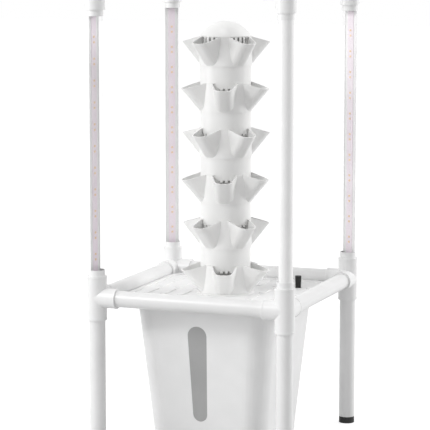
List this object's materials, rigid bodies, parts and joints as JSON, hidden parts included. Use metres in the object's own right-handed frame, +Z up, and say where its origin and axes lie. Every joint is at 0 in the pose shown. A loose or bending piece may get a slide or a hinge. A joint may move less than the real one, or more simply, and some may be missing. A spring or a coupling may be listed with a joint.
{
  "type": "hydroponic tower",
  "caption": "Stacked planting tower on a square water tank, inside a pipe frame whose upright lamp tubes light the plants.",
  "frame": {"origin": "centre of the square that the four feet stand on, at floor level", "axes": "+Z up the tower; -Y towards the front, where the tank's level window is; +X to the right seen from the front"},
  "size_m": [0.4254, 0.4254, 0.9197],
  "materials": {
    "pipe": "satin",
    "fitting": "satin",
    "foot_rubber": "matte",
    "lamp_back": "satin",
    "lamp_cover": "clear",
    "light_board": "matte",
    "tower": "satin",
    "tank": "satin",
    "lid": "matte",
    "window": "frosted",
    "plug_rubber": "matte",
    "riser": "satin",
    "pump": "matte",
    "pump_rubber": "matte",
    "impeller": "satin",
    "shaft": "brushed"
  },
  "bodies": {
    "frame": {"leg_fl": "pipe", "leg_fr": "pipe", "leg_br": "pipe", "leg_bl": "pipe", "foot_fl": "foot_rubber", "foot_fr": "foot_rubber", "foot_br": "foot_rubber", "foot_bl": "foot_rubber", "corner_fl": "fitting", "corner_fr": "fitting", "corner_br": "fitting", "corner_bl": "fitting", "rail_front": "pipe", "rail_right": "pipe", "rail_back": "pipe", "rail_left": "pipe", "top_corner_fl": "fitting", "top_corner_fr": "fitting", "top_corner_br": "fitting", "top_corner_bl": "fitting", "top_rail_front": "pipe", "top_rail_right": "pipe", "top_rail_back": "pipe", "top_rail_left": "pipe", "tank": "tank", "level_window": "window", "riser_tube": "riser", "pump_body": "pump", "pump_strainer": "pump", "pump_feet": "pump_rubber", "impeller_shaft": "shaft"},
    "lid": {"lid": "lid", "tower_base": "tower"},
    "plug": {"hole_plug": "plug_rubber"},
    "tier_6": {"tier_6": "tower"},
    "tier_5": {"tier_5": "tower"},
    "tier_4": {"tier_4": "tower"},
    "tier_3": {"tier_3": "tower"},
    "tier_2": {"tier_2": "tower"},
    "tier_1": {"tier_1": "tower", "distributor": "tower"},
    "dome": {"dome_cap": "tower"},
    "lamp_fl": {"lamp_caps_fl": "fitting", "lamp_back_fl": "lamp_back", "lamp_cover_fl": "lamp_cover", "light_board_fl": "light_board"},
    "lamp_fr": {"lamp_caps_fr": "fitting", "lamp_back_fr": "lamp_back", "lamp_cover_fr": "lamp_cover", "light_board_fr": "light_board"},
    "lamp_br": {"lamp_caps_br": "fitting", "lamp_back_br": "lamp_back", "lamp_cover_br": "lamp_cover", "light_board_br": "light_board"},
    "lamp_bl": {"lamp_caps_bl": "fitting", "lamp_back_bl": "lamp_back", "lamp_cover_bl": "lamp_cover", "light_board_bl": "light_board"},
    "impeller": {"impeller": "impeller"}
  },
  "joints": [
    {"name": "lid_lift", "type": "slide", "parent": "frame", "child": "lid", "axis": [0, 0, 1], "range_m": [0, 0.12]},
    {"name": "plug_pull", "type": "slide", "parent": "lid", "child": "plug", "axis": [0, 0, 1], "range_m": [0, 0.03]},
    {"name": "tier_6_lift", "type": "slide", "parent": "lid", "child": "tier_6", "axis": [0, 0, 1], "range_m": [0, 0.06]},
    {"name": "tier_5_lift", "type": "slide", "parent": "tier_6", "child": "tier_5", "axis": [0, 0, 1], "range_m": [0, 0.06]},
    {"name": "tier_4_lift", "type": "slide", "parent": "tier_5", "child": "tier_4", "axis": [0, 0, 1], "range_m": [0, 0.06]},
    {"name": "tier_3_lift", "type": "slide", "parent": "tier_4", "child": "tier_3", "axis": [0, 0, 1], "range_m": [0, 0.06]},
    {"name": "tier_2_lift", "type": "slide", "parent": "tier_3", "child": "tier_2", "axis": [0, 0, 1], "range_m": [0, 0.06]},
    {"name": "tier_1_lift", "type": "slide", "parent": "tier_2", "child": "tier_1", "axis": [0, 0, 1], "range_m": [0, 0.06]},
    {"name": "dome_lift", "type": "slide", "parent": "tier_1", "child": "dome", "axis": [0, 0, 1], "range_m": [0, 0.03]},
    {"name": "lamp_fl_turn", "type": "hinge", "parent": "frame", "child": "lamp_fl", "pos_m": [-0.193, -0.193, 0.6], "axis": [0, 0, 1], "range_deg": [-90, 90]},
    {"name": "lamp_fr_turn", "type": "hinge", "parent": "frame", "child": "lamp_fr", "pos_m": [0.193, -0.193, 0.6], "axis": [0, 0, 1], "range_deg": [-90, 90]},
    {"name": "lamp_br_turn", "type": "hinge", "parent": "frame", "child": "lamp_br", "pos_m": [0.193, 0.193, 0.6], "axis": [0, 0, 1], "range_deg": [-90, 90]},
    {"name": "lamp_bl_turn", "type": "hinge", "parent": "frame", "child": "lamp_bl", "pos_m": [-0.193, 0.193, 0.6], "axis": [0, 0, 1], "range_deg": [-90, 90]},
    {"name": "impeller_spin", "type": "hinge", "parent": "frame", "child": "impeller", "pos_m": [-0.0235, 0, 0.035], "axis": [1, 0, 0], "continuous": true}
  ]
}
